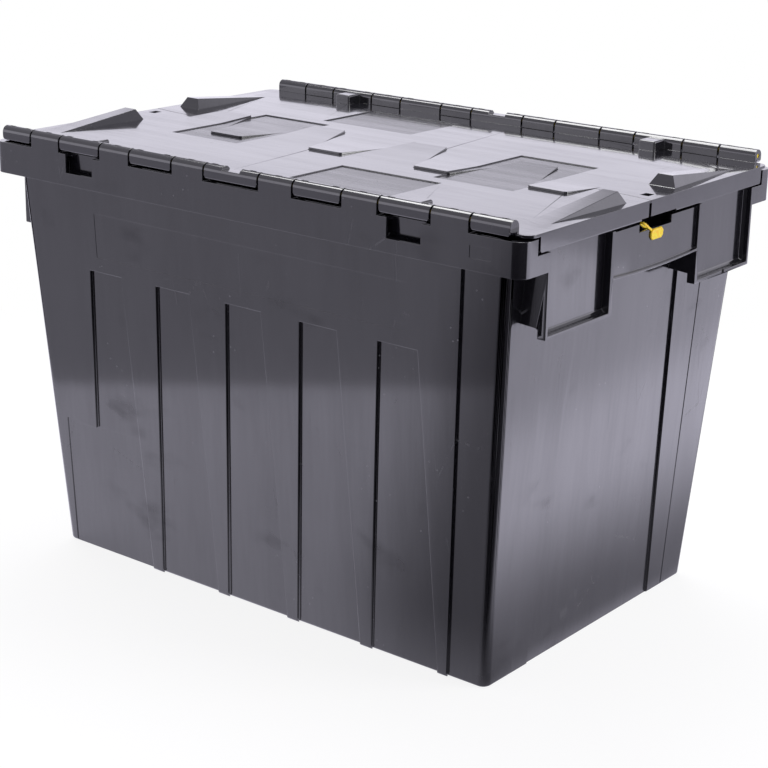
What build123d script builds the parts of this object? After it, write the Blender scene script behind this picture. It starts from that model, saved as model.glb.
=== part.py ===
"""Attached lid container: a drafted tub with a deep rim, end grips and stacking lugs,
closed by two interlocking flaps that swing on long hinge pins.

Millimetres. The origin is the centre of the base, +X runs along the long side, the front long
side faces -Y and +Z is up. Everything but the seal repeats when turned half round about Z, so
each piece is modelled once, on the front or on the +X end, and turned for its twin.
"""

from build123d import *
from math import cos, radians, tan
import os

# Overall size: the height is the rim's, which the knuckles stand above
LENGTH = 600.0
WIDTH = 400.0
HEIGHT = 400.0

# Tub
WALL = 2.8
FLOOR = 3.2
BASE_LIFT = 2.0
BASE_RING = 18.0
END_OVERHANG = 20.8
SIDE_OVERHANG = 10.0
END_DRAFT = radians(3.67)
SIDE_DRAFT = radians(3.7)
CORNER_RADIUS = 8.5
FOOT_RADIUS = 3.0
INNER_FOOT_RADIUS = 3.0
RECESS = 2.8

# Long walls: recessed panels, corner strips, blank label fields
PANEL_COUNT = 5
PANEL_PITCH = 85.2
PANEL_TOP_BELOW_RIM = 109.3
PANEL_TOP_WIDTH = 40.6
PANEL_FOOT_WIDTH = 73.2
STRIP_TOP_WIDTH = 43.9
STRIP_FOOT_WIDTH = 39.3
LOW_FIELD_HEIGHT = 132.0
LOW_FIELD_STEP = 0.8
LOW_FIELD_MARGIN = 4.0
RIB_BELOW_LEDGE = 0.6
HIGH_FIELD_HALF_LENGTH = 180.0
HIGH_FIELD_BELOW_RIM = 53.4
HIGH_FIELD_HEIGHT = 41.7
HIGH_FIELD_DEPTH = 0.3

# End walls: a recessed bay between two posts, each post with one shallow step
BAY_FOOT_WIDTH = 202.0
BAY_TOP_WIDTH = 152.0
POST_STEP_WIDTH = 250.0
POST_STEP = 0.5

# Rim
RIM_DEPTH = 29.1
RIM_SHEET = 2.5
RIM_CORNER_RADIUS = 11.0
RIM_RIB = 2.0
RIM_RIB_DEPTH = 22.0
WINDOW_INNER = 168.5
WINDOW_OUTER = 202.6
WINDOW_DEPTH = 17.2
MARK_FIELD_CENTRE = 260.0
MARK_FIELD_LENGTH = 20.0
MARK_FIELD_HEIGHT = 10.0
MARK_FIELD_DROP = 14.0
MARK_FIELD_DEPTH = 0.4

# Hinge: boundaries between lid and rim knuckles, from the middle outwards
KNUCKLE_EDGES = (31.0, 69.2, 121.1, 159.1, 211.1, 249.2, 287.2)
KNUCKLE_GAP = 1.7
BARREL_RADIUS = 6.0
HINGE_RISE = 9.5
PIN_RADIUS = 2.1
PIN_SEAT_CLEARANCE = 0.03
PIN_RUN_CLEARANCE = 0.08
PIN_END_WALL = 2.5
PIN_END_INSET = 0.6
KNUCKLE_LIFT = 2.6
KNUCKLE_FOOT_RADIUS = 1.5
KNUCKLE_CORNER_RADIUS = 3.5
NOTCH_LENGTH = 20.0
NOTCH_FLOOR = 0.5
DASH_LENGTH = 7.0
DASH_WIDTH = 1.8
DASH_DEPTH = 1.2
DASH_MARGIN = 5.0

# Lid flaps
LID_RISE = 1.5
LID_SHEET = 2.5
LID_CORNER_RADIUS = 9.0
LID_EDGE_CLEARANCE = 1.5
LID_SEAT_CLEARANCE = 0.3
LID_TO_KNUCKLE = 3.0
LID_RIB = 2.0
LID_RIB_DEPTH = 6.0
LID_RIB_PITCH = 88.0
LID_RIB_INSET = 8.0
LID_RIB_ROW = 66.0
SEAT_RIB_INSET = 12.0
SEAM_GAP = 0.5
TONGUE_CENTRES = (27.0, 94.8, 149.75, 216.5)
TONGUE_WIDTH = 39.0
TONGUE_REACH = 45.0
TONGUE_RISE = 2.0
TONGUE_CORNER_RADIUS = 3.0
SEAM_SHOULDER = (59.0, 8.0)
SEAM_MIDDLE = (30.0, 10.5)
SEAM_END = 15.5
FLANGE_SHEET = 2.5
FLANGE_DEPTH = 15.5
FLANGE_SEAM_GAP = 3.6
FLANGE_START = 17.0
FLANGE_CORNER_RADIUS = 1.5
FLANGE_RELIEF = 1.5
FLANGE_RELIEF_WIDTH = 56.0
TIE_HOLE_INSET = 14.0
TIE_HOLE_OFFSET = 2.0
TIE_HOLE_LENGTH = 8.0
TIE_HOLE_WIDTH = 10.0
SUNK_DEPTH = 1.0
SUNK_FIELDS = ((-196.0, -69.0, 83.0, 134.0), (24.0, -159.0, 109.0, 79.0))

# Bumps that fit the rim windows when a flap hangs open
BUMP_INNER = 174.8
BUMP_OUTER = 192.8
BUMP_REACH = 23.5
BUMP_HEIGHT = 9.3
BUMP_RADIUS = 2.0

# Ramps that centre a stacked container
RAMP_INSET = 22.0
RAMP_FOOT_WIDTH = 26.0
RAMP_LOW_WIDTH = 18.4
RAMP_TOP_WIDTH = 14.6
RAMP_HEIGHT = 9.8
RAMP_HIGH_END = 39.0
RAMP_LOW_END = 142.0
RAMP_END_SLANT = 5.0

# Stacking lugs
LUG_INNER = 68.0
LUG_OUTER_INSET = 35.3
LUG_HEIGHT = 84.0
LUG_SHELF = 3.3
LUG_INNER_WEB = 4.5
LUG_OUTER_WEB = 3.0
POCKET_DEPTH = 7.0
POCKET_BACK = 2.6
POCKET_CORNER = 2.5
LUG_FOOT = 8.0
LUG_STEP = 8.6
LUG_WEB_SLOPE = 2.7
LUG_NOTCH_CENTRE = 119.0
LUG_NOTCH_WIDTH = 4.0
LUG_NOTCH_DEPTH = 2.4

# Hand grips
PANEL_SETBACK = 3.0
PANEL_SHEET = 2.8
PANEL_TOP_DROP = 15.2
PANEL_LIP_DROP = 51.7
PANEL_LIP = 2.3
PANEL_LIP_ARCH = 2.0
PANEL_NOTCH_WIDTH = 52.0
PANEL_NOTCH_DEPTH = 6.8
FLANGE_CLEARANCE = 1.5
END_WEB_SETBACK = 6.0
TIE_SLOT_LENGTH = 52.0

# Security seal
SEAL_TAG_WIDTH = 19.5
SEAL_TAG_HEIGHT = 9.5
SEAL_TAG_THICKNESS = 1.6
SEAL_TAG_START = -8.5
SEAL_TAG_DROP = 0.2
SEAL_STRAP = 2.2
SEAL_STRAP_THICKNESS = 1.2
SEAL_STRAP_START = -20.5
SEAL_LATCH = 5.0

# Construction allowance: how far a cutting shape runs past what it cuts
PAST = 2.0

# Levels and places worked out from the sizes above
HALF_LENGTH = LENGTH / 2
HALF_WIDTH = WIDTH / 2
RIM_TOP = HEIGHT
SKIRT_BOTTOM = RIM_TOP - RIM_DEPTH
HINGE_Z = RIM_TOP + HINGE_RISE
HINGE_Y = HALF_WIDTH - BARREL_RADIUS
LID_BOTTOM = RIM_TOP + LID_RISE
LID_TOP = LID_BOTTOM + LID_SHEET
FLANGE_BOTTOM = LID_TOP - FLANGE_DEPTH
FLANGE_SEAT = FLANGE_BOTTOM - FLANGE_CLEARANCE
PANEL_TOP_HEIGHT = RIM_TOP - PANEL_TOP_BELOW_RIM
HIGH_FIELD_TOP = RIM_TOP - HIGH_FIELD_BELOW_RIM
HIGH_FIELD_BOTTOM = HIGH_FIELD_TOP - HIGH_FIELD_HEIGHT
LUG_BOTTOM = RIM_TOP - LUG_HEIGHT
LUG_OUTER = HALF_WIDTH - LUG_OUTER_INSET
FLOOR_TOP = BASE_LIFT + FLOOR
INNER_CORNER_RADIUS = CORNER_RADIUS - WALL
PANEL_FACE = HALF_LENGTH - PANEL_SETBACK
PANEL_TOP = RIM_TOP - PANEL_TOP_DROP
PANEL_BOTTOM = RIM_TOP - PANEL_LIP_DROP
END_WEB_EDGE = HALF_LENGTH - END_WEB_SETBACK
HINGE_END = KNUCKLE_EDGES[-1]


def tub_half_length(height):
    """Half the tub's outer length at a height, on the end posts."""
    return HALF_LENGTH - END_OVERHANG - (SKIRT_BOTTOM - height) * tan(END_DRAFT)


def tub_half_width(height):
    """Half the tub's outer width at a height, on the proud part of the long walls."""
    return HALF_WIDTH - SIDE_OVERHANG - (SKIRT_BOTTOM - height) * tan(SIDE_DRAFT)


def turned(shape):
    """The same shape turned half round about the vertical axis."""
    return Rot(0, 0, 180) * shape


def span_box(x_span, y_span, z_span):
    """A box given by its low and high value along each axis."""
    size = [high - low for low, high in (x_span, y_span, z_span)]
    middle = [(high + low) / 2 for low, high in (x_span, y_span, z_span)]
    return Pos(*middle) * Box(*size)


def blend(low, high, height):
    """A width that changes evenly from the base to the rim's top."""
    return low + (high - low) * height / RIM_TOP


def drafted_prism(inset_end, inset_side, bottom, top, foot_radius):
    """A block with the tub's drafts and sharp uprights, inset from the tub's outer faces."""
    corners = ((-1, bottom), (1, bottom), (1, top), (-1, top))
    ends = [(sign * (tub_half_length(height) - inset_end), height) for sign, height in corners]
    sides = [(sign * (tub_half_width(height) - inset_side), height) for sign, height in corners]
    along_width = extrude(Plane.XZ * Polygon(*ends, align=None), WIDTH, both=True)
    along_length = extrude(Plane.YZ * Polygon(*sides, align=None), LENGTH, both=True)
    block = along_width & along_length
    if foot_radius > 0:
        block = fillet(block.edges().group_by(Axis.Z)[0], foot_radius)
    return block


def rounded_block(inset_end, inset_side, bottom, top, corner_radius, foot_radius):
    """A drafted block with its four upright corners and its foot rounded."""
    block = drafted_prism(inset_end, inset_side, bottom, top, 0)
    uprights = [edge for edge in block.edges() if abs((edge @ 0 - edge @ 1).Z) > (top - bottom) / 2]
    block = fillet(uprights, corner_radius)
    return fillet(block.edges().group_by(Axis.Z)[0], foot_radius)


def front_plane(inset):
    """The plane of the front wall, inset from its proud face: X along the wall, Y up the wall."""
    return Plane(origin=(0, inset - tub_half_width(0), 0), x_dir=(1, 0, 0),
                 z_dir=(0, -1, -tan(SIDE_DRAFT)))


def end_plane(inset):
    """The plane of the +X wall, inset from its posts: X along the wall, Y up the wall."""
    return Plane(origin=(tub_half_length(0) - inset, 0, 0), x_dir=(0, 1, 0),
                 z_dir=(1, 0, -tan(END_DRAFT)))


def trapezoid(centre, foot_width, top_width, foot, top, draft):
    """A symmetric trapezoid on a wall plane, its heights measured upright."""
    rise = 1 / cos(draft)
    return Polygon((centre - foot_width / 2, foot * rise), (centre + foot_width / 2, foot * rise),
                   (centre + top_width / 2, top * rise), (centre - top_width / 2, top * rise), align=None)


def panel_width(height):
    """Width of a long-wall panel at a height."""
    return PANEL_TOP_WIDTH + (PANEL_FOOT_WIDTH - PANEL_TOP_WIDTH) * (1 - height / PANEL_TOP_HEIGHT)


def panel_centre(index):
    """Place of a long-wall panel along the wall."""
    return (index - (PANEL_COUNT - 1) / 2) * PANEL_PITCH


def proud_area(inset):
    """The raised part of a long wall: what its strips, panels and low label field leave.

    The inset narrows it all round, which gives the inner face of a wall of even thickness."""
    foot = -PAST
    top = RIM_TOP + PAST
    foot_half = tub_half_length(foot) - blend(STRIP_FOOT_WIDTH, STRIP_TOP_WIDTH, foot) - inset
    top_half = tub_half_length(top) - blend(STRIP_FOOT_WIDTH, STRIP_TOP_WIDTH, top) - inset
    area = trapezoid(0, 2 * foot_half, 2 * top_half, foot, top, SIDE_DRAFT)
    for index in range(PANEL_COUNT):
        foot_width = panel_width(foot) + 2 * inset
        top_width = panel_width(PANEL_TOP_HEIGHT) + 2 * inset
        area -= trapezoid(panel_centre(index), foot_width, top_width, foot, PANEL_TOP_HEIGHT + inset,
                          SIDE_DRAFT)
    field_end = panel_centre(0)
    field_width = HALF_LENGTH + field_end
    area -= trapezoid(field_end - field_width / 2, field_width, field_width, foot,
                      LOW_FIELD_HEIGHT - RIB_BELOW_LEDGE + inset, SIDE_DRAFT)
    return area


def long_wall_relief(inset, core_inset):
    """The raised part of the front wall as a slab standing on the recessed face."""
    return extrude(front_plane(core_inset) * proud_area(inset), RECESS + PAST)


def low_field_cut():
    """The low label field's own shallow step, below the first panel's ledge and up to its right rib."""
    rise = 1 / cos(SIDE_DRAFT)
    foot = -PAST * rise
    top = LOW_FIELD_HEIGHT * rise
    left = LOW_FIELD_MARGIN + CORNER_RADIUS - tub_half_length(0)
    foot_right = panel_centre(0) + panel_width(-PAST) / 2
    top_right = panel_centre(0) + panel_width(LOW_FIELD_HEIGHT) / 2
    field = Polygon((left, foot), (foot_right, foot), (top_right, top), (left, top), align=None)
    return extrude(front_plane(RECESS + LOW_FIELD_STEP) * field, LOW_FIELD_STEP + RECESS / 2)


def high_field_cut():
    """The blank label field above the panels."""
    length = 2 * HIGH_FIELD_HALF_LENGTH
    field = trapezoid(0, length, length, HIGH_FIELD_BOTTOM, HIGH_FIELD_TOP, SIDE_DRAFT)
    return extrude(front_plane(HIGH_FIELD_DEPTH) * field, PAST)


def bay_prism(depth, widen):
    """The space of the end wall's bay, from outside to a depth below the posts."""
    foot = -PAST
    top = RIM_TOP + PAST
    bay = trapezoid(0, blend(BAY_FOOT_WIDTH, BAY_TOP_WIDTH, foot) + 2 * widen,
                    blend(BAY_FOOT_WIDTH, BAY_TOP_WIDTH, top) + 2 * widen, foot, top, END_DRAFT)
    return extrude(end_plane(depth) * bay, depth + PAST)


def post_step_prism():
    """The shallow step beside the bay."""
    foot = -PAST
    top = RIM_TOP + PAST
    step = trapezoid(0, POST_STEP_WIDTH, POST_STEP_WIDTH, foot, top, END_DRAFT)
    return extrude(end_plane(POST_STEP) * step, POST_STEP + PAST)


def make_tub_skin():
    """The tub's outer form as one full block: what the rim and the lugs are fitted against."""
    skin = rounded_block(0, RECESS, 0, RIM_TOP, CORNER_RADIUS, FOOT_RADIUS)
    relief = long_wall_relief(0, RECESS) & drafted_prism(0, 0, 0, RIM_TOP, FOOT_RADIUS)
    skin = skin + relief + turned(relief)
    for cut in (low_field_cut(), high_field_cut(), post_step_prism(), bay_prism(RECESS, 0)):
        skin = skin - cut - turned(cut)
    return skin


def make_tub(skin):
    """Floor and four walls of even thickness, standing on a ring round the base."""
    top = RIM_TOP + PAST
    cavity = rounded_block(WALL, RECESS + WALL, FLOOR_TOP, top, INNER_CORNER_RADIUS, INNER_FOOT_RADIUS)
    relief = long_wall_relief(WALL, RECESS + WALL)
    relief = relief & drafted_prism(WALL, WALL, FLOOR_TOP, top, INNER_FOOT_RADIUS)
    cavity = cavity + relief + turned(relief)
    bulge = bay_prism(RECESS + WALL, WALL)
    cavity = cavity - bulge - turned(bulge)
    under = Box(2 * (tub_half_length(0) - BASE_RING), 2 * (tub_half_width(0) - BASE_RING), 2 * BASE_LIFT)
    return skin - cavity - under


def knuckle_spans():
    """Lid and rim knuckle spans along the hinge, with the gap between neighbours taken off."""
    half_gap = KNUCKLE_GAP / 2
    lid_spans = [(half_gap - KNUCKLE_EDGES[0], KNUCKLE_EDGES[0] - half_gap)]
    rim_spans = []
    for index in range(len(KNUCKLE_EDGES) - 1):
        low = KNUCKLE_EDGES[index] + half_gap
        high = KNUCKLE_EDGES[index + 1] - half_gap
        if index == len(KNUCKLE_EDGES) - 2:
            high = HINGE_END
        spans = rim_spans if index % 2 == 0 else lid_spans
        spans.append((low, high))
        spans.append((-high, -low))
    return lid_spans, rim_spans


def knuckle(span, foot, foot_radius):
    """An arch-shaped knuckle: a barrel on straight sides down to its foot, rounded in front."""
    low, high = span
    body = Pos(0, (foot - HINGE_Z) / 2) * Rectangle(2 * BARREL_RADIUS, HINGE_Z - foot)
    if foot_radius > 0:
        outer_foot = body.vertices().group_by(Axis.Y)[0].sort_by(Axis.X)[0]
        body = fillet(outer_foot, foot_radius)
    section = body + Circle(BARREL_RADIUS)
    plane = Plane(origin=(low, -HINGE_Y, HINGE_Z), x_dir=(0, 1, 0), z_dir=(1, 0, 0))
    return extrude(plane * section, high - low)


def lid_knuckle(span):
    """A knuckle of the flap: in front of the sheet its foot and its lower corners are rounded."""
    low, high = span
    foot = RIM_TOP + KNUCKLE_LIFT
    top = HINGE_Z + BARREL_RADIUS + PAST
    face = Pos((low + high) / 2, (foot + top) / 2) * Rectangle(high - low, top - foot)
    face = fillet(face.vertices().group_by(Axis.Y)[0], KNUCKLE_CORNER_RADIUS)
    sheet_edge = HINGE_Y - LID_TO_KNUCKLE
    space = extrude(Plane.XZ * face, WIDTH) + span_box(span, (-sheet_edge, 0), (foot, top))
    return knuckle(span, foot, KNUCKLE_FOOT_RADIUS) & space


def hinge_bore(radius, low, high):
    """A round hole along the front hinge axis."""
    plane = Plane(origin=(low, -HINGE_Y, HINGE_Z), x_dir=(0, 1, 0), z_dir=(1, 0, 0))
    return extrude(plane * Circle(radius), high - low)


def dash(centre):
    """A short moulding slot in the top of a knuckle."""
    top = HINGE_Z + BARREL_RADIUS
    return span_box((centre - DASH_LENGTH / 2, centre + DASH_LENGTH / 2),
                    (-HINGE_Y - DASH_WIDTH / 2, DASH_WIDTH / 2 - HINGE_Y), (top - DASH_DEPTH, top + PAST))


def make_front_rim(skin):
    """Front side of the rim with both its corners: top sheet, skirt, ribs and rim knuckles."""
    outline = RectangleRounded(LENGTH, WIDTH, RIM_CORNER_RADIUS)
    inner = RectangleRounded(LENGTH - 2 * RIM_SHEET, WIDTH - 2 * RIM_SHEET, RIM_CORNER_RADIUS - RIM_SHEET)
    rim = extrude(Pos(0, 0, RIM_TOP - RIM_SHEET) * outline, RIM_SHEET)
    rim += extrude(Pos(0, 0, SKIRT_BOTTOM) * (outline - inner), RIM_DEPTH)
    rib_bottom = RIM_TOP - RIM_RIB_DEPTH
    rim_spans = knuckle_spans()[1]
    for low, high in rim_spans:
        middle = (low + high) / 2
        rim += span_box((middle - RIM_RIB / 2, middle + RIM_RIB / 2),
                        (RIM_SHEET / 2 - HALF_WIDTH, -tub_half_width(0)),
                        (rib_bottom, RIM_TOP - RIM_SHEET / 2))
        rim += knuckle((low, high), RIM_TOP - RIM_SHEET / 2, 0)
        rim -= dash(middle)
    rim -= span_box((-LENGTH, LENGTH), (-LUG_OUTER, WIDTH), (0, 2 * RIM_TOP))
    flange_end = LID_EDGE_CLEARANCE + HINGE_Y - FLANGE_START
    for sign in (-1, 1):
        x_span = sorted((sign * END_WEB_EDGE, sign * LENGTH))
        rim -= span_box(x_span, (-flange_end - LID_EDGE_CLEARANCE, 0), (FLANGE_SEAT, 2 * RIM_TOP))
        x_span = sorted((sign * WINDOW_INNER, sign * WINDOW_OUTER))
        rim -= span_box(x_span, (-WIDTH, 0), (RIM_TOP - WINDOW_DEPTH, RIM_TOP + PAST))
    mark_top = RIM_TOP - MARK_FIELD_DROP + MARK_FIELD_HEIGHT / 2
    rim -= span_box((MARK_FIELD_CENTRE - MARK_FIELD_LENGTH / 2, MARK_FIELD_CENTRE + MARK_FIELD_LENGTH / 2),
                    (-WIDTH, MARK_FIELD_DEPTH - HALF_WIDTH), (mark_top - MARK_FIELD_HEIGHT, mark_top))
    rim -= hinge_bore(PIN_RADIUS + PIN_SEAT_CLEARANCE, -HINGE_END, HINGE_END)
    return rim - skin


def lug_web(low, high, top):
    """An upright web from the end wall out to the lug's face."""
    wall = tub_half_length(0)
    foot = HALF_LENGTH - LUG_FOOT
    step = LUG_BOTTOM + LUG_STEP
    outline = Polygon((wall, step + LUG_WEB_SLOPE), (foot, step), (foot, LUG_BOTTOM),
                      (HALF_LENGTH, LUG_BOTTOM), (HALF_LENGTH, FLANGE_SEAT), (END_WEB_EDGE, FLANGE_SEAT),
                      (END_WEB_EDGE, top), (wall, top), align=None)
    plane = Plane(origin=(0, high, 0), x_dir=(1, 0, 0), z_dir=(0, -1, 0))
    return extrude(plane * outline, high - low)


def make_end_rim(skin):
    """The +X end of the rim: top sheet, the grip's two webs, and the grip panel with its lip."""
    wall = tub_half_length(0)
    rim = span_box((wall, END_WEB_EDGE), (-LUG_OUTER, LUG_OUTER), (RIM_TOP - RIM_SHEET, RIM_TOP))
    rim += lug_web(LUG_INNER, LUG_INNER + LUG_INNER_WEB, RIM_TOP)
    rim += lug_web(-LUG_INNER - LUG_INNER_WEB, -LUG_INNER, RIM_TOP)
    panel_back = PANEL_FACE - PANEL_SHEET
    panel_foot = PANEL_BOTTOM - PANEL_LIP_ARCH
    rim += span_box((panel_back, PANEL_FACE), (-LUG_INNER, LUG_INNER), (panel_foot, PANEL_TOP))
    lip_top = ThreePointArc((-LUG_INNER, PANEL_BOTTOM), (0, panel_foot), (LUG_INNER, PANEL_BOTTOM))
    under = PANEL_BOTTOM - PANEL_LIP
    lip_under = ThreePointArc((LUG_INNER, under), (0, under - PANEL_LIP_ARCH), (-LUG_INNER, under))
    sides = [Line(lip_top @ 1, lip_under @ 0), Line(lip_under @ 1, lip_top @ 0)]
    lip = make_face([lip_top, sides[0], lip_under, sides[1]])
    plane = Plane(origin=(panel_back, 0, 0), x_dir=(0, 1, 0), z_dir=(1, 0, 0))
    rim += extrude(plane * lip, HALF_LENGTH - panel_back)
    rim -= span_box((panel_back - PAST, HALF_LENGTH), (-PANEL_NOTCH_WIDTH / 2, PANEL_NOTCH_WIDTH / 2),
                    (PANEL_TOP - PANEL_NOTCH_DEPTH, PANEL_TOP + PAST))
    tie_hole = HALF_LENGTH - TIE_HOLE_INSET
    rim -= span_box((tie_hole - TIE_HOLE_LENGTH / 2, END_WEB_EDGE - RIM_SHEET),
                    (-TIE_SLOT_LENGTH / 2, TIE_SLOT_LENGTH / 2), (RIM_TOP - 2 * RIM_SHEET, RIM_TOP + PAST))
    return rim - skin


def make_lug(skin, notched):
    """The lug on the +X end's rear half: outer web, sunk pocket and the shelf below it."""
    face = HALF_LENGTH - POCKET_DEPTH
    back = face - POCKET_BACK
    foot = HALF_LENGTH - LUG_FOOT
    shelf_top = LUG_BOTTOM + LUG_SHELF
    under = RIM_TOP - RIM_SHEET
    step = LUG_BOTTOM + LUG_STEP
    outline = Polygon((HALF_LENGTH, LUG_BOTTOM), (HALF_LENGTH, shelf_top),
                      (face + POCKET_CORNER, shelf_top), (face, shelf_top + POCKET_CORNER),
                      (face, under), (back, under), (back, step),
                      (foot, step - LUG_FOOT + POCKET_DEPTH), (foot, LUG_BOTTOM), align=None)
    inner = LUG_INNER + LUG_INNER_WEB
    web = LUG_OUTER - LUG_OUTER_WEB
    plane = Plane(origin=(0, LUG_OUTER, 0), x_dir=(1, 0, 0), z_dir=(0, -1, 0))
    lug = extrude(plane * outline, LUG_OUTER - inner)
    lug += lug_web(web, LUG_OUTER, under)
    corner = Polygon((face, web), (face, web - POCKET_CORNER), (face + POCKET_CORNER, web), align=None)
    lug += extrude(Pos(0, 0, shelf_top) * corner, FLANGE_SEAT - shelf_top)
    if notched:
        lug -= span_box((HALF_LENGTH - LUG_NOTCH_DEPTH, LENGTH),
                        (LUG_NOTCH_CENTRE - LUG_NOTCH_WIDTH / 2, LUG_NOTCH_CENTRE + LUG_NOTCH_WIDTH / 2),
                        (shelf_top - LUG_NOTCH_DEPTH, shelf_top + PAST))
    return lug - skin


def seam_points():
    """The seam between the flaps, from the -X end to the +X end."""
    shoulder_x, shoulder_y = SEAM_SHOULDER
    middle_x, middle_y = SEAM_MIDDLE
    right = [(HALF_LENGTH - shoulder_x, -shoulder_y), (HALF_LENGTH - middle_x, -middle_y),
             (HALF_LENGTH + PAST, -SEAM_END)]
    left = [(-x, -y) for x, y in reversed(right)]
    centres = [-centre for centre in reversed(TONGUE_CENTRES)] + list(TONGUE_CENTRES)
    points = left
    for index, centre in enumerate(centres):
        reach = TONGUE_REACH if index % 2 == 0 else -TONGUE_REACH
        points += [(centre - TONGUE_WIDTH / 2, reach), (centre + TONGUE_WIDTH / 2, reach)]
    return points + right


def front_side_of_seam():
    """Everything in plan on the front flap's side of the seam, its half of the gap taken off."""
    far = WIDTH
    points = seam_points()
    side = Polygon(*points, (points[-1][0], -far), (points[0][0], -far), align=None)
    tips = [vertex for vertex in side.vertices() if abs(abs(vertex.Y) - TONGUE_REACH) < SEAM_GAP / 2]
    side = fillet(tips, TONGUE_CORNER_RADIUS)
    return offset(side, -SEAM_GAP / 2, kind=Kind.INTERSECTION)


def flap_outline():
    """Plan of the front flap without its knuckles."""
    sheet_edge = HINGE_Y - LID_TO_KNUCKLE
    sheet = Pos(0, (WIDTH - sheet_edge) / 2) * Rectangle(LENGTH, sheet_edge + WIDTH)
    sheet = fillet(sheet.vertices().group_by(Axis.Y)[0], LID_CORNER_RADIUS)
    return sheet & front_side_of_seam()


def rim_knuckle_clearance():
    """What the flap's sheet leaves free round the rim's knuckles."""
    edge = HINGE_Y - BARREL_RADIUS - LID_EDGE_CLEARANCE
    rim_spans = knuckle_spans()[1]
    space = [span_box((low - KNUCKLE_GAP, high + KNUCKLE_GAP), (-WIDTH, -edge), (0, 2 * RIM_TOP))
             for low, high in rim_spans]
    return space


def sunk_columns():
    """The four shallow fields of the lid's top, as tall columns."""
    columns = []
    levels = (LID_TOP - SUNK_DEPTH, LID_TOP + 2 * RAMP_HEIGHT)
    for x, y, length, width in SUNK_FIELDS:
        column = span_box((x, x + length), (y, y + width), levels)
        columns += [column, turned(column)]
    return columns


def tongue_rise(outline):
    """What lifts the front flap's tongues towards their tips, over the other flap's sheet."""
    end = TONGUE_REACH + PAST
    base = LID_BOTTOM + LID_SHEET / 2
    tip = LID_TOP + TONGUE_RISE * end / TONGUE_REACH
    profile = Polygon((0, base), (end, base), (end, tip), (0, LID_TOP), align=None)
    half = HALF_LENGTH - SEAM_SHOULDER[0]
    plane = Plane(origin=(-half, 0, 0), x_dir=(0, 1, 0), z_dir=(1, 0, 0))
    wedge = extrude(plane * profile, 2 * half)
    return wedge & extrude(Pos(0, 0, LID_BOTTOM) * outline, 2 * LID_SHEET + TONGUE_RISE)


def make_ramp(side):
    """A wedge beside the flap's end, high towards the seam, its sides spreading to the foot."""
    centre = side * (HALF_LENGTH - RAMP_INSET)
    half_low = RAMP_LOW_WIDTH / 2
    half_top = RAMP_TOP_WIDTH / 2
    half_foot = RAMP_FOOT_WIDTH / 2
    crest = LID_TOP + RAMP_HEIGHT
    crest_y = -RAMP_HIGH_END - RAMP_END_SLANT
    low_left = (centre - half_low, -RAMP_LOW_END, LID_TOP)
    low_right = (centre + half_low, -RAMP_LOW_END, LID_TOP)
    foot_left = (centre - half_foot, -RAMP_HIGH_END, LID_TOP)
    foot_right = (centre + half_foot, -RAMP_HIGH_END, LID_TOP)
    crest_left = (centre - half_top, crest_y, crest)
    crest_right = (centre + half_top, crest_y, crest)
    foot = make_face(Polyline(low_left, low_right, foot_right, foot_left, close=True))
    loops = ((low_left, low_right, crest_right, crest_left), (low_left, crest_left, foot_left),
             (low_right, foot_right, crest_right), (foot_left, crest_left, crest_right, foot_right))
    sides = [make_face(Polyline(*loop, close=True)) for loop in loops]
    wedge = Solid(Shell(foot.faces() + [face for side_face in sides for face in side_face.faces()]))
    root = Pos(0, 0, -LID_SHEET / 2) * extrude(foot, LID_SHEET / 2, dir=(0, 0, 1))
    return Part() + wedge + root


def make_bump(side):
    """The block beside a lid knuckle that drops into a rim window when the flap hangs open."""
    x_span = sorted((side * BUMP_INNER, side * BUMP_OUTER))
    inner_face = BUMP_REACH - HINGE_Y
    bump = span_box(x_span, (-HINGE_Y, inner_face), (LID_BOTTOM, LID_TOP + BUMP_HEIGHT))
    rounded = [edge for edge in bump.edges()
               if edge.center().Z > LID_TOP and edge.center().Y > -HINGE_Y + BUMP_RADIUS]
    return fillet(rounded, BUMP_RADIUS)


def make_flange(side):
    """The turned-down end of the flap, from near its hinge to the seam."""
    start = FLANGE_START - HINGE_Y
    side_end = -side * SEAM_END - FLANGE_SEAM_GAP / 2
    bottom = FLANGE_BOTTOM
    face = Polygon((start, bottom), (side_end, bottom), (side_end, LID_BOTTOM + LID_SHEET / 2),
                   (start, LID_BOTTOM + LID_SHEET / 2), align=None)
    low_corner = face.vertices().group_by(Axis.Y)[0].sort_by(Axis.X)[0]
    face = fillet(low_corner, FLANGE_CORNER_RADIUS)
    x_low = min(side * HALF_LENGTH, side * (HALF_LENGTH - FLANGE_SHEET))
    plane = Plane(origin=(x_low, 0, 0), x_dir=(0, 1, 0), z_dir=(1, 0, 0))
    flange = extrude(plane * face, FLANGE_SHEET)
    return flange - span_box((x_low - PAST, x_low + FLANGE_SHEET + PAST),
                             (-FLANGE_RELIEF_WIDTH / 2, FLANGE_RELIEF_WIDTH / 2),
                             (bottom - PAST, bottom + FLANGE_RELIEF))


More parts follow.
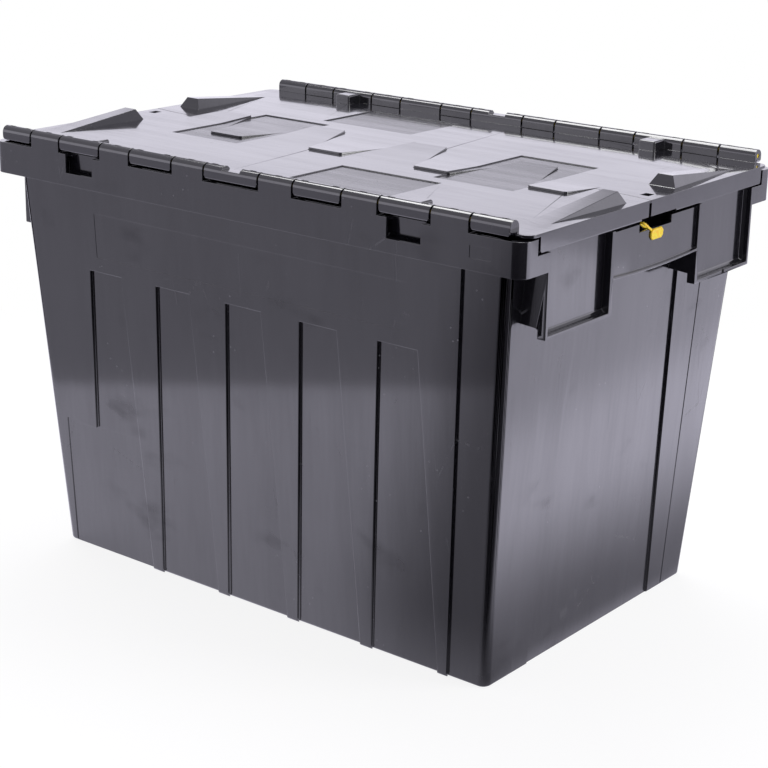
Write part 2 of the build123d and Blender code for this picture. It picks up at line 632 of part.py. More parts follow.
def flap_ribs():
    """Stiffening ribs under the front flap, inside the mouth of the tub, and its two seat ribs."""
    low = LID_BOTTOM - LID_RIB_DEPTH
    high = LID_BOTTOM + LID_SHEET / 2
    half_length = tub_half_length(RIM_TOP) - RECESS - WALL - LID_RIB_INSET
    half_width = tub_half_width(RIM_TOP) - RECESS - WALL - LID_RIB_INSET
    end_row = LID_RIB_INSET + TONGUE_REACH
    rib = LID_RIB / 2
    ribs = []
    for y in (half_width, half_width - LID_RIB_ROW):
        ribs.append(span_box((-half_length, half_length), (-y - rib, rib - y), (low, high)))
    columns = int(half_length // LID_RIB_PITCH)
    places = [index * LID_RIB_PITCH for index in range(-columns, columns + 1)]
    for x in [-half_length + rib, half_length - rib] + places:
        ribs.append(span_box((x - rib, x + rib), (-half_width, -end_row), (low, high)))
    seat = RIM_TOP + LID_SEAT_CLEARANCE
    seat_end = TIE_SLOT_LENGTH / 2 + LID_RIB
    for side in (-1, 1):
        x = side * (HALF_LENGTH - SEAT_RIB_INSET)
        ribs.append(span_box((x - rib, x + rib), (-LUG_OUTER, -seat_end), (seat, high)))
    return ribs


def make_front_flap():
    """The front lid flap: sheet, tongues, ramps, end flanges, bumps, ribs and lid knuckles."""
    outline = flap_outline()
    flap = extrude(Pos(0, 0, LID_BOTTOM) * outline, LID_SHEET)
    for space in rim_knuckle_clearance():
        flap -= space
    rise = tongue_rise(outline)
    columns = sunk_columns()
    for column in columns:
        flap -= column
        sunk_rise = rise & column
        rise -= column
        if sunk_rise:
            flap += Pos(0, 0, -SUNK_DEPTH) * sunk_rise
    flap += rise
    for side in (-1, 1):
        flap = flap + make_ramp(side) + make_bump(side) + make_flange(side)
    tie_x = TIE_HOLE_INSET - HALF_LENGTH
    flap -= span_box((tie_x - TIE_HOLE_LENGTH / 2, tie_x + TIE_HOLE_LENGTH / 2),
                     (-TIE_HOLE_OFFSET - TIE_HOLE_WIDTH / 2, TIE_HOLE_WIDTH / 2 - TIE_HOLE_OFFSET),
                     (0, 2 * RIM_TOP))
    for rib in flap_ribs():
        flap += rib
    lid_spans = knuckle_spans()[0]
    for low, high in lid_spans:
        flap += lid_knuckle((low, high))
        flap = flap - dash(low + DASH_MARGIN + DASH_LENGTH / 2) - dash(high - DASH_MARGIN - DASH_LENGTH / 2)
    bore = PIN_RADIUS + PIN_RUN_CLEARANCE
    flap -= hinge_bore(bore, -HINGE_END - PAST, HINGE_END - PIN_END_WALL)
    flap -= span_box((-NOTCH_LENGTH / 2, NOTCH_LENGTH / 2), (-WIDTH, BARREL_RADIUS - HINGE_Y + PAST),
                     (HINGE_Z + bore + NOTCH_FLOOR, HINGE_Z + 2 * BARREL_RADIUS))
    return flap


def make_pin():
    """The front hinge pin, open to view at the -X end and stopped by the last knuckle at +X."""
    low = PIN_END_INSET - HINGE_END
    high = HINGE_END - PIN_END_WALL - PIN_END_INSET
    return hinge_bore(PIN_RADIUS, low, high)


def make_seal():
    """The security seal: a tag lying on the grip panel, its strap looped through the notch."""
    notch_floor = PANEL_TOP - PANEL_NOTCH_DEPTH
    loop_top = notch_floor + SEAL_STRAP_THICKNESS
    tag_top = notch_floor - SEAL_TAG_DROP
    tag_face = PANEL_FACE + SEAL_TAG_THICKNESS
    strap_face = PANEL_FACE + SEAL_STRAP_THICKNESS
    inner = PANEL_FACE - PANEL_SHEET - SEAL_STRAP_THICKNESS
    tag_span = (SEAL_TAG_START, SEAL_TAG_START + SEAL_TAG_WIDTH)
    latch_span = (SEAL_TAG_START, SEAL_TAG_START + SEAL_LATCH)
    seal = span_box((PANEL_FACE, tag_face), tag_span, (tag_top - SEAL_TAG_HEIGHT, tag_top))
    seal += span_box((PANEL_FACE, tag_face), latch_span, (tag_top - SEAL_STRAP, loop_top))
    seal += span_box((inner, tag_face), latch_span, (notch_floor, loop_top))
    strap_top = PANEL_TOP + SEAL_STRAP / 2
    strap_end = SEAL_TAG_START + SEAL_STRAP
    run = Polygon((strap_end, notch_floor), (SEAL_STRAP_START, strap_top - SEAL_STRAP),
                  (SEAL_STRAP_START, strap_top), (strap_end, loop_top), align=None)
    for face in (inner, PANEL_FACE):
        plane = Plane(origin=(face, 0, 0), x_dir=(0, 1, 0), z_dir=(1, 0, 0))
        seal += extrude(plane * run, SEAL_STRAP_THICKNESS)
    seal += span_box((inner, strap_face), (SEAL_STRAP_START, SEAL_STRAP_START + SEAL_STRAP),
                     (strap_top - SEAL_STRAP, strap_top))
    return seal


def make_parts():
    """Every node of the container by name."""
    skin = make_tub_skin()
    front_rim = make_front_rim(skin)
    right_rim = make_end_rim(skin)
    plain_lug = make_lug(skin, False)
    notched_lug = make_lug(skin, True)
    front_right_lug = mirror(plain_lug, Plane.XZ)
    front_flap = make_front_flap()
    front_pin = make_pin()
    return {
        "container_tub": make_tub(skin),
        "rim_front": front_rim,
        "rim_rear": turned(front_rim),
        "grip_rim_right": right_rim,
        "grip_rim_left": turned(right_rim),
        "stacking_lug_front_right": front_right_lug,
        "stacking_lug_rear_right": notched_lug,
        "stacking_lug_front_left": turned(notched_lug),
        "stacking_lug_rear_left": turned(front_right_lug),
        "lid_flap_front": front_flap,
        "lid_flap_rear": turned(front_flap),
        "hinge_pin_front": front_pin,
        "hinge_pin_rear": turned(front_pin),
        "security_seal": make_seal(),
    }


os.makedirs("parts", exist_ok=True)
for name, shape in make_parts().items():
    export_step(shape, f"parts/{name}.step")
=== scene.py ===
"""Looks of the attached lid container: one moulded body, two lid flaps, two hinge rods and a seal.

Metres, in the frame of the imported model. The body's nodes are one moulding on the real object, so they
are joined here into one skin, and every moulding gets its small edge radii.
"""

import math

import bmesh
import bpy
import numpy as np
from mathutils import Matrix, Vector
from mathutils.bvhtree import BVHTree


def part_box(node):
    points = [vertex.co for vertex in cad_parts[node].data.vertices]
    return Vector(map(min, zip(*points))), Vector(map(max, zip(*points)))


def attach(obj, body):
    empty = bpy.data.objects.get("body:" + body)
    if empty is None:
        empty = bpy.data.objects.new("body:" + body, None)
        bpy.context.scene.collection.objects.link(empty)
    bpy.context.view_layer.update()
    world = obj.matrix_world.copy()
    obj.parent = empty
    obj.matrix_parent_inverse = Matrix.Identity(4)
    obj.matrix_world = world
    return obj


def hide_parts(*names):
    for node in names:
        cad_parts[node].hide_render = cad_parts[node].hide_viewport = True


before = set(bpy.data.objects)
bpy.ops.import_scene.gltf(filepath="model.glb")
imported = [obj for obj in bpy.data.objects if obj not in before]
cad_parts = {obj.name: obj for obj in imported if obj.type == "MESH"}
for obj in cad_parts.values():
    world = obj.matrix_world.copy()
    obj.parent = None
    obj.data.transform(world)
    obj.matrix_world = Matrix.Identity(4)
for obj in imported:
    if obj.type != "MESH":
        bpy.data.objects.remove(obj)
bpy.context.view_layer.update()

bl_info = {
    "name": "Attached lid container",
    "version": (1, 0, 0),
    "blender": (4, 5, 0),
    "location": "3D View > Sidebar > Container",
    "description": "Dresses the packed container: mouldings, hinge rods, seal, finishes and stage",
    "category": "Object",
}

MM = 0.001

# Nodes of the one real body moulding, the first being the one that the others are joined to
BODY_NODES = ("container_tub", "rim_front", "rim_rear", "grip_rim_right", "grip_rim_left",
              "stacking_lug_front_right", "stacking_lug_rear_right",
              "stacking_lug_front_left", "stacking_lug_rear_left")
FLAPS = (("lid_flap_front", "lid_front"), ("lid_flap_rear", "lid_rear"))
PINS = ("hinge_pin_front", "hinge_pin_rear")

# Joining the nodes: distance within which points are one, and the bite that makes two nodes overlap where
# they only touch the tub's outer faces, which start at these distances from the middle
WELD = 0.004 * MM
TOUCH = 0.01 * MM
BITE = 0.2 * MM
END_FACE = 272 * MM
SIDE_FACE = 183 * MM

# Angles between two faces: flat below the first, a real edge above the second, folded back above the third;
# the last is where the edges of the rods, the tag and the strap stay crisp
FLAT_ANGLE = math.radians(0.4)
EDGE_ANGLE = math.radians(25)
FOLD_ANGLE = math.radians(150)
CRISP_ANGLE = math.radians(32)

# Edge radii: on the tub's walls, which end where the skirt begins, and elsewhere; the least that is cut, the
# share of the room beside an edge that it may take, and the foot, whose edges stay on the ground
WALL_RADIUS = 0.8 * MM
EDGE_RADIUS = 0.35 * MM
LEAST_RADIUS = 0.07 * MM
ROOM_SHARE = 0.45
SKIRT_BOTTOM = 370.9 * MM
FOOT_TOP = 4 * MM
EDGE_SEGMENTS = 2

# A face broader than this is a field of its own; an edge leaves another sideways below this cosine; faces
# with more corners than this are cut up
BROAD = 4 * MM
SIDEWAYS = 0.9
MOST_CORNERS = 4

# The flaps' sunk fields: least x and y, length and width, and the width of the change at their borders
SUNK_FIELDS = [[side * MM for side in field] for field in ((-196, -69, 83, 134), (24, -159, 109, 79))]
SUNK_BORDER = 0.4 * MM

# Rods: quarter-round ends and a bow within their play
ROD_SIDES = 24
ROD_STEPS = 61
ROD_END_STEPS = 5
ROD_END_RADIUS = 0.5 * MM
ROD_BOW = 0.02 * MM
ROD_BOW_LENGTH = 100 * MM
ROD_SHADE = 0.85

# Seal's tag: thickness, length and height, its cut corners, the points along each side, and its layers from
# the back outwards and round to the sunk face, each a share of the thickness and a drawing in of the outline
TAG_SIZE = (1.6 * MM, 19.5 * MM, 9.5 * MM)
TAG_CORNER = 2.6 * MM
TAG_SIDE_STEPS = 4
TAG_LAYERS = np.array(((0.0, 0.3), (0.35, 0.0), (0.7, 0.1), (0.92, 0.4), (1.0, 0.9), (0.97, 1.6), (0.8, 2.0),
                       (0.8, 3.2))) * (1, MM)

# Seal's strap: thickness and width; along the tag, where its loop ends and where it bends; the bend's height
# above the foot and those of its outer and inner ends; the halvings of its corners, and its section's shape
STRAP = (1.0 * MM, 2.0 * MM)
STRAP_END = 15 * MM
STRAP_BEND = 9 * MM
STRAP_RISE = 2.2 * MM
STRAP_ENDS = (-1.2 * MM, 1.4 * MM)
STRAP_HALVINGS = 3
STRAP_SIDES = 12
STRAP_POWER = 0.5

# Patterns of the dark plastic, in repeats a metre, and the limits between which a noise counts
MIDDLE = (0.3, 0.7)
BODY_FLOW = (45, 45, 2.5)
LID_FLOW = (4, 60, 60)
FINE_FLOW = 6.0
FINE_DETAIL = 2.0
BLOTCHES = 7.0
WANDER = 30.0
SCRATCH_CELLS = (26, 26, 9)
SCRATCH_TURN = (0.5, 0.7, 0.3)
SCRATCH_WIDTH = (0.012, 0.004)
SCRATCHED = (13.0, (0.56, 0.66))
SCRATCH_GAPS = (0.42, 0.6)
DUST_CELLS = 130.0
DUST_SIZE = (0.10, 0.06)
DUSTY = (16.0, (0.56, 0.64))
SCUFFS = 11.0
SCUFF_STRETCH = (1, 1, 2)
BODY_SCUFFS = (0.6, 0.8)
LID_SCUFFS = (0.66, 0.8)
LID_SCUFF_SHARE = 0.4

# Strengths of those patterns: in the colour, in the roughness with the mean that they add, in the coat and in
# the relief
SHADE_RANGE = (0.8, 1.2)
MARK_COLOUR = (0.55, 0.55, 0.58)
SCRATCH_PALE = 0.14
DUST_PALE = 0.35
STREAK_ROUGH = 0.10
BLOTCH_ROUGH = 0.10
DULL_ROUGH = 0.12
MEAN_ROUGH = 0.10
COAT = 1.10
BLOTCH_COAT = 0.26
STREAK_COAT = 0.06
SCRATCH_COAT = 0.4
DULL_COAT = 0.42
COAT_GLOSS = 0.4
COAT_IOR = 2.0
STREAK_HEIGHT = 0.3
WANDER_HEIGHT = 0.15
WAVES = {"Strength": 0.05, "Distance": 2 * MM}
GRAIN = {"Strength": 0.08, "Distance": 0.2 * MM}

# Bright plastic: mottling and dirt, in repeats a metre, with their limits and strengths
MOTTLING = (300.0, (0.35, 0.6))
DIRT = (900.0, (0.6, 0.75))
DIRT_DETAIL = 4.0
DIRT_SHADE = 0.6
DIRT_SHARE = 0.3
BRIGHT_ROUGH = 0.25
MOTTLING_ROUGH = 0.2
MOTTLING_RELIEF = {"Strength": 0.1, "Distance": 0.3 * MM}

# Soft boxes: name, place, aim, size and power in watts
LAMPS = (("top_softbox", (-0.7, 0.5, 2.3), (0, 0, 0.3), (1.6, 1.2), 28),
         ("side_softbox", (2.0, 0.9, 1.0), (0.3, 0, 0.3), (1.0, 1.4), 16))

# Floor: least and greatest x and y, its paint, and to the camera its share of shadow and of glow, with the
# squared distances between which it goes over to white
WHITE = (1, 1, 1, 1)
FLOOR_SIDES = (-3.0, 3.0, -2.6, 3.4)
FLOOR_PAINT = (0.86, 0.86, 0.87, 1)
FLOOR_SHADOW = (0.2, 0.2, 0.2, 1)
FLOOR_GLOW = 0.86
FLOOR_FADE = (0.35, 1.0)

# Painted reflection seen by gloss on the floor. Lines are (a, b, c), with a x + b y + c above 0 beyond the
# line
GLOSS_TINT = (0.985, 0.96, 1.12)
GLOSS_GLOW = 0.7
PAINTED_DIM_LINE = (0.483, 0.875, 0.642)
PAINTED_DIM_EDGE = (-0.02, 0.02)
PAINTED_DIM_LEVEL = 0.47
# Painted shade in that reflection: a dark wedge to the front right, darker in its core
PAINTED_WEDGE_LEFT = (0.883, -0.469, -0.273)
PAINTED_WEDGE_RIGHT = (0.148, -0.989, -0.302)
PAINTED_WEDGE_EDGES = ((-0.17, -0.02), (-0.2, -0.02))
PAINTED_WEDGE_DARK = 0.7
PAINTED_WEDGE_DEEP_EDGES = ((0.0, 0.15), (-0.1, 0.0))
PAINTED_WEDGE_DEEP_DARK = 0.27

# Painted shadow of the object on the floor beside its +X end, seen only in gloss, with a painted brightening
# farther out:
# where it starts, its level there, and how the level rises, falls, rises again and falls towards the rear,
# each with its limits and its amount
SHADE_START = (0.24, 0.27)
SHADE_LEVEL = 0.42
SHADE_RISE = ((0.28, 0.45), 0.9)
SHADE_FALL = ((0.5, 0.62), 0.4)
SHADE_SECOND_RISE = ((0.8, 0.95), 0.25)
SHADE_REAR = ((1.12, 1.25), 0.5)

# The room: the band's top, raised towards the rear right, its level above that of the ceiling, and the dark
# front right; directions are (x, y) weights on the unit sphere with the limits of the change
ROOM_TINT = (0.985, 0.96, 1.09)
BAND_TOP = (0.42, 0.27)
BAND_LEVEL = 0.62
CEILING_LEVEL = 0.42
REAR_RIGHT = ((0.56, 0.83), (0.6, 0.95))
REAR_RIGHT_RAISE = 0.14
FRONT_RIGHT = ((0.616, -0.788), (0.25, 0.8))
FRONT_RIGHT_DARK = 0.65

# Camera: the width of its sensor in mm, and how near it still sees, in metres
SENSOR_WIDTH = 36
NEAREST = 0.05


class MouldingSettings(bpy.types.PropertyGroup):
    """Sizes and colours of the mouldings."""

    edge_radius: bpy.props.FloatProperty(
        name="Edge radius", description="Largest radius of the mouldings' edges, which the tub's walls have",
        default=WALL_RADIUS, min=0.1 * MM, max=1.5 * MM, unit="LENGTH", precision=4)
    body_colour: bpy.props.FloatVectorProperty(
        name="Body colour", description="Colour of the container's plastic",
        default=(0.0085, 0.0080, 0.0110), min=0, max=1, size=3, subtype="COLOR")
    lid_colour: bpy.props.FloatVectorProperty(
        name="Lid colour", description="Colour of the flaps' plastic",
        default=(0.0100, 0.0095, 0.0135), min=0, max=1, size=3, subtype="COLOR")
    roughness: bpy.props.FloatProperty(
        name="Roughness", description="Roughness of the body's clean plastic",
        default=0.2, min=0, max=1, subtype="FACTOR")
    lid_roughness: bpy.props.FloatProperty(
        name="Lid roughness", description="Roughness of the flaps' glossier plastic",
        default=0.14, min=0, max=1, subtype="FACTOR")


class TrimSettings(bpy.types.PropertyGroup):
    """Colours of the hinge rods and the seal."""

    pin_colour: bpy.props.FloatVectorProperty(
        name="Rod colour", description="Colour of the hinge rods",
        default=(0.93, 0.70, 0.02), min=0, max=1, size=3, subtype="COLOR")
    seal_colour: bpy.props.FloatVectorProperty(
        name="Seal colour", description="Colour of the security seal",
        default=(1.0, 0.80, 0.03), min=0, max=1, size=3, subtype="COLOR")
    seal_shade: bpy.props.FloatVectorProperty(
        name="Seal shade", description="Deeper colour in the seal's mottling",
        default=(1.0, 0.60, 0.01), min=0, max=1, size=3, subtype="COLOR")


class StageSettings(bpy.types.PropertyGroup):
    """The camera's lens, place and direction."""

    lens: bpy.props.FloatProperty(
        name="Lens", description="Focal length in mm, on a sensor 36 mm wide",
        default=88.914, min=20, max=300)
    camera_place: bpy.props.FloatVectorProperty(
        name="Camera place", description="Where the camera stands",
        default=(1.074406, -1.355541, 0.735570), size=3, subtype="TRANSLATION", unit="LENGTH")
    azimuth: bpy.props.FloatProperty(
        name="Azimuth", description="Direction the camera looks in, from +Y towards +X",
        default=math.radians(-38.067), subtype="ANGLE")
    elevation: bpy.props.FloatProperty(
        name="Elevation", description="How far the camera looks up",
        default=math.radians(-17.901), subtype="ANGLE")
    roll: bpy.props.FloatProperty(
        name="Roll", description="Turn of the camera about its own axis",
        default=math.radians(1.158), subtype="ANGLE")


class Wire:
    """A shader socket used in sums: each operation adds its Math node."""

    def __init__(self, finish, socket):
        self.finish = finish
        self.socket = socket

    def math(self, operation, *others):
        """The Math node of an operation on this value and others."""
        return self.finish.node("Math", {"operation": operation}, dict(enumerate((self, *others))))

    def step(self, low, high):
        """0 below low, 1 above high and a smooth change between, or the reverse where high is the lower."""
        return self.finish.node("MapRange", {"interpolation_type": "SMOOTHSTEP"},
                                Value=self, From_Min=low, From_Max=high)

    def rise(self, limits, amount):
        """0 below two limits and an amount above them."""
        return self.step(*limits) * amount

    def inside(self, low, high, soft):
        """1 between two limits and 0 outside them."""
        return self.step(low - soft, low + soft) * self.step(high + soft, high - soft)

    def __add__(self, other):
        return self.math("ADD", other)

    def __mul__(self, other):
        return self.math("MULTIPLY", other)

    def __sub__(self, other):
        return self.math("SUBTRACT", other)

    def __rsub__(self, other):
        return (self * -1) + other

    __radd__ = __add__
    __rmul__ = __mul__


class Finish:
    """A node tree built by one node-making method."""

    def __init__(self, owner):
        owner.use_nodes = True
        self.owner = owner
        self.tree = owner.node_tree
        self.tree.nodes.clear()

    def plug(self, slot, value):
        """Sets a socket to a value, or links it."""
        if isinstance(value, Wire):
            self.tree.links.new(value.socket, slot)
        else:
            slot.default_value = value

    def node(self, kind, settings=None, sockets=None, output=0, **values):
        """Adds a node: its settings first, then its sockets by number, then by name with _ for a space."""
        made = self.tree.nodes.new("ShaderNode" + kind)
        for key, value in (settings or {}).items():
            setattr(made, key, value)
        for number, value in (sockets or {}).items():
            self.plug(made.inputs[number], value)
        for key, value in values.items():
            self.plug(made.inputs[key.replace("_", " ")], value)
        return Wire(self, made.outputs[output]) if made.outputs else None

    def places(self, scale=(1, 1, 1), turn=(0, 0, 0)):
        """Object coordinates, stretched along each axis and turned."""
        return self.node("Mapping", Vector=self.node("TexCoord", output="Object"), Scale=scale, Rotation=turn)

    def axes(self, vector):
        """The three parts of a vector."""
        return [self.node("SeparateXYZ", output=axis, Vector=vector) for axis in "XYZ"]

    def noise(self, scale, stretch=(1, 1, 1), detail=3.0):
        """Soft noise from 0 to 1, in repeats a metre."""
        return self.node("TexNoise", output="Fac", Vector=self.places(stretch), Scale=scale, Detail=detail)

    def tint(self, amount, low, high):
        """A colour between two, by an amount; the first may be a Wire."""
        first = low if isinstance(low, Wire) else (*low, 1)
        return self.node("Mix", {"data_type": "RGBA"}, {6: first, 7: (*high, 1)}, output=2, Factor=amount)

    def shaded(self, level, tint):
        """A grey of a varying level with a slight tint."""
        return self.node("CombineColor", Red=level * tint[0], Green=level * tint[1], Blue=level * tint[2])

    def between(self, amount, first, second):
        """One shader going over to another, by an amount."""
        return self.node("MixShader", sockets={0: amount, 1: first, 2: second})


def moulded_plastic(name, colour, gloss, flow, dull):
    """Near-black glossy plastic: flow streaks, slow waves, scratches, dust specks and dull places.

    flow stretches the streaks along the way the plastic ran; dull(finish) gives a mask of rougher fields."""
    finish = Finish(bpy.data.materials.new(name))
    streaks = finish.noise(1.0, flow).step(*MIDDLE)
    fine = finish.noise(FINE_FLOW, flow, FINE_DETAIL).step(*MIDDLE)
    blotches = finish.noise(BLOTCHES)
    wander = finish.noise(WANDER)
    scratch_places = finish.places(SCRATCH_CELLS, SCRATCH_TURN)
    cells = finish.node("TexVoronoi", {"feature": "DISTANCE_TO_EDGE"}, Vector=scratch_places, Scale=1.0)
    scratched = finish.noise(SCRATCHED[0]).step(*SCRATCHED[1])
    scratches = cells.step(*SCRATCH_WIDTH) * scratched * fine.step(*SCRATCH_GAPS)
    dust = finish.node("TexVoronoi", output="Distance", Vector=finish.places(), Scale=DUST_CELLS)
    specks = dust.step(*DUST_SIZE) * finish.noise(DUSTY[0]).step(*DUSTY[1])
    dulled = dull(finish)
    marks = scratches * SCRATCH_PALE + specks * DUST_PALE
    shades = finish.tint(blotches, [c * SHADE_RANGE[0] for c in colour], [c * SHADE_RANGE[1] for c in colour])
    painted = finish.tint(marks, shades, MARK_COLOUR)
    rough = streaks * STREAK_ROUGH + blotches * BLOTCH_ROUGH + dulled * DULL_ROUGH + (gloss - MEAN_ROUGH)
    coat = (COAT - blotches * BLOTCH_COAT - (fine + streaks) * STREAK_COAT - scratches * SCRATCH_COAT
            - dulled * DULL_COAT)
    waves = finish.node("Bump", Height=streaks * STREAK_HEIGHT + blotches + wander * WANDER_HEIGHT, **WAVES)
    grain = finish.node("Bump", Height=fine - scratches, Normal=waves, **GRAIN)
    shader = finish.node("BsdfPrincipled", Base_Color=painted, Roughness=rough, Normal=grain,
                         Coat_Weight=coat, Coat_Roughness=gloss * COAT_GLOSS, Coat_IOR=COAT_IOR)
    finish.node("OutputMaterial", Surface=shader)
    return finish.owner


def body_scuffs(finish):
    """The body's mask of dull places: low, broad scuffs."""
    return finish.noise(SCUFFS, SCUFF_STRETCH).step(*BODY_SCUFFS)


def sunk_fields(finish):
    """The flaps' mask of dull places: the lid's four sunk fields, and faint scuffs."""
    x, y, _ = finish.axes(finish.places())
    mask = finish.noise(SCUFFS).step(*LID_SCUFFS) * LID_SCUFF_SHARE
    for low_x, low_y, length, width in SUNK_FIELDS:
        for sign in (1, -1):
            mask = mask + ((x * sign).inside(low_x, low_x + length, SUNK_BORDER)
                           * (y * sign).inside(low_y, low_y + width, SUNK_BORDER))
    return mask


def bright_plastic(name, colour, shade):
    """Bright glossy plastic: mottled with a deeper shade, with a faint relief and fine dirt."""
    finish = Finish(bpy.data.materials.new(name))
    mottling = finish.noise(MOTTLING[0])
    dirt = finish.noise(DIRT[0], detail=DIRT_DETAIL).step(*DIRT[1])
    mottled = finish.tint(mottling.step(*MOTTLING[1]), shade, colour)
    dirty = finish.tint(dirt * DIRT_SHARE, mottled, [c * DIRT_SHADE for c in shade])
    rough = mottling * MOTTLING_ROUGH + BRIGHT_ROUGH
    relief = finish.node("Bump", Height=mottling, **MOTTLING_RELIEF)
    shader = finish.node("BsdfPrincipled", Base_Color=dirty, Roughness=rough, Normal=relief)
    finish.node("OutputMaterial", Surface=shader)
    return finish.owner


def welded(mesh):
    """A mesh opened for editing, its near points made one and its slivers taken out."""
    skin = bmesh.new()
    skin.from_mesh(mesh)
    bmesh.ops.remove_doubles(skin, verts=skin.verts, dist=WELD)
    bmesh.ops.dissolve_degenerate(skin, edges=skin.edges, dist=WELD)
    return skin


def merged_copy(node):
    """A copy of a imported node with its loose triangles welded."""
    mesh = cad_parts[node].data.copy()
    mesh.materials.clear()
    skin = welded(mesh)
    skin.to_mesh(mesh)
    skin.free()
    return mesh


def sunk_into(mesh, wall):
    """Moves the points that lie on the tub's outer faces a little into its wall, so that the union bites."""
    nearest = BVHTree.FromPolygons([v.co for v in wall.vertices], [p.vertices for p in wall.polygons])
    for vertex in mesh.vertices:
        if nearest.find_nearest(vertex.co)[3] < TOUCH:
            for axis, face in ((0, END_FACE), (1, SIDE_FACE)):
                if abs(vertex.co[axis]) > face:
                    vertex.co[axis] -= math.copysign(BITE, vertex.co[axis])


def joined(nodes):
    """One skin for nodes that are one moulding: their welded copies united, flat faces dissolved.

    Faces of many corners are cut up again once the edges are weighed, so that no rounding folds them over."""
    base = bpy.data.objects.new("joining", merged_copy(nodes[0]))
    bpy.context.scene.collection.objects.link(base)
    if len(nodes) > 1:
        others = bpy.data.collections.new("joining")
        for node in nodes[1:]:
            mesh = merged_copy(node)
            sunk_into(mesh, base.data)
            others.objects.link(bpy.data.objects.new("joining_" + node, mesh))
        union = base.modifiers.new("union", "BOOLEAN")
        union.operation = "UNION"
        union.solver = "EXACT"
        union.operand_type = "COLLECTION"
        union.collection = others
    mesh = bpy.data.meshes.new_from_object(base.evaluated_get(bpy.context.evaluated_depsgraph_get()))
    bpy.data.objects.remove(base)
    skin = welded(mesh)
    bmesh.ops.dissolve_limit(skin, angle_limit=FLAT_ANGLE, verts=skin.verts, edges=skin.edges)
    weigh_edges(skin)
    many = [face for face in skin.faces if len(face.verts) > MOST_CORNERS]
    bmesh.ops.triangulate(skin, faces=many, ngon_method="BEAUTY")
    skin.to_mesh(mesh)
    skin.free()
    return mesh


def room_beside(edge, vertex):
    """Length of the shortest edge that leaves an edge's end sideways."""
    along = (edge.other_vert(vertex).co - vertex.co).normalized()
    room = [other.calc_length() for other in vertex.link_edges if other != edge
            and abs((other.other_vert(vertex).co - vertex.co).normalized().dot(along)) < SIDEWAYS]
    return min(room, default=1.0)


def weigh_edges(skin):
    """Marks every real edge to be rounded, with less radius where its neighbours leave little room.

    Edges without room, and creases between two broad faces, stay sharp."""
    weights = skin.edges.layers.float.new("bevel_weight_edge")
    broad = set()
    for face in skin.faces:
        face.smooth = True
        breadth = 2 * face.calc_area() / face.calc_perimeter()
        if breadth > BROAD:
            broad.add(face)
    for edge in skin.edges:
        if len(edge.link_faces) != 2 or max(vertex.co.z for vertex in edge.verts) < FOOT_TOP:
            continue
        angle = edge.calc_face_angle(0)
        if EDGE_ANGLE < angle < FOLD_ANGLE:
            room = min(room_beside(edge, vertex) for vertex in edge.verts)
            on_wall = max(vertex.co.z for vertex in edge.verts) < SKIRT_BOTTOM
            radius = min(WALL_RADIUS if on_wall else EDGE_RADIUS, ROOM_SHARE * room)
            if radius > LEAST_RADIUS:
                edge[weights] = radius / WALL_RADIUS
            else:
                edge.smooth = False
        elif angle >= FOLD_ANGLE or broad.issuperset(edge.link_faces):
            edge.smooth = False


def moulding(name, nodes, body, material, radius):
    """A moulding that stands for its nodes, its edges rounded."""
    piece = bpy.data.objects.new(name, joined(nodes))
    bpy.context.scene.collection.objects.link(piece)
    piece.data.materials.append(material)
    bevel = piece.modifiers.new("edge radii", "BEVEL")
    bevel.width = radius
    bevel.segments = EDGE_SEGMENTS
    bevel.limit_method = "WEIGHT"
    bevel.use_clamp_overlap = False
    shading = piece.modifiers.new("flat faces", "WEIGHTED_NORMAL")
    shading.mode = "FACE_AREA"
    shading.weight = 100
    shading.keep_sharp = True
    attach(piece, body)
    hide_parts(*nodes)


class MakeBody(bpy.types.Operator):
    """Make the container's body moulding"""

    bl_idname = "container.make_body"
    bl_label = "Body moulding"

    def execute(self, context):
        settings = context.scene.container_moulding
        plastic = moulded_plastic("body_plastic", settings.body_colour, settings.roughness, BODY_FLOW,
                                  body_scuffs)
        moulding("container_body", BODY_NODES, "container", plastic,
                 settings.edge_radius)
        return {"FINISHED"}


class MakeFlaps(bpy.types.Operator):
    """Make the two lid flaps"""

    bl_idname = "container.make_flaps"
    bl_label = "Lid flaps"

    def execute(self, context):
        settings = context.scene.container_moulding
        plastic = moulded_plastic("lid_plastic", settings.lid_colour, settings.lid_roughness, LID_FLOW,
                                  sunk_fields)
        for node, body in FLAPS:
            moulding(node + "_moulding", (node,), body, plastic, settings.edge_radius)
        return {"FINISHED"}


def skin_object(name, rings, closed, material):
    """An object from rings of points: a grid of quads, its ends capped unless the rings close on each other.

    Edges that turn more sharply than a rounded one stay crisp."""
    rows, columns = rings.shape[:2]
    index = np.arange(rows * columns).reshape(rows, columns)
    if closed:
        index = np.vstack((index, index[:1]))
    near, far = index[:-1], index[1:]
    quads = np.stack((near, np.roll(near, -1, 1), np.roll(far, -1, 1), far), axis=-1).reshape(-1, 4)
    faces = quads.tolist()
    if not closed:
        faces += [index[0, ::-1].tolist(), index[-1].tolist()]
    mesh = bpy.data.meshes.new(name)
    mesh.from_pydata(rings.reshape(-1, 3).tolist(), [], faces)
    skin = bmesh.new()
    skin.from_mesh(mesh)
    bmesh.ops.recalc_face_normals(skin, faces=skin.faces)
    for face in skin.faces:
        face.smooth = True
    for edge in skin.edges:
        edge.smooth = edge.calc_face_angle(0) < CRISP_ANGLE
    skin.to_mesh(mesh)
    skin.free()
    mesh.materials.append(material)
    piece = bpy.data.objects.new(name, mesh)
    bpy.context.scene.collection.objects.link(piece)
    return piece


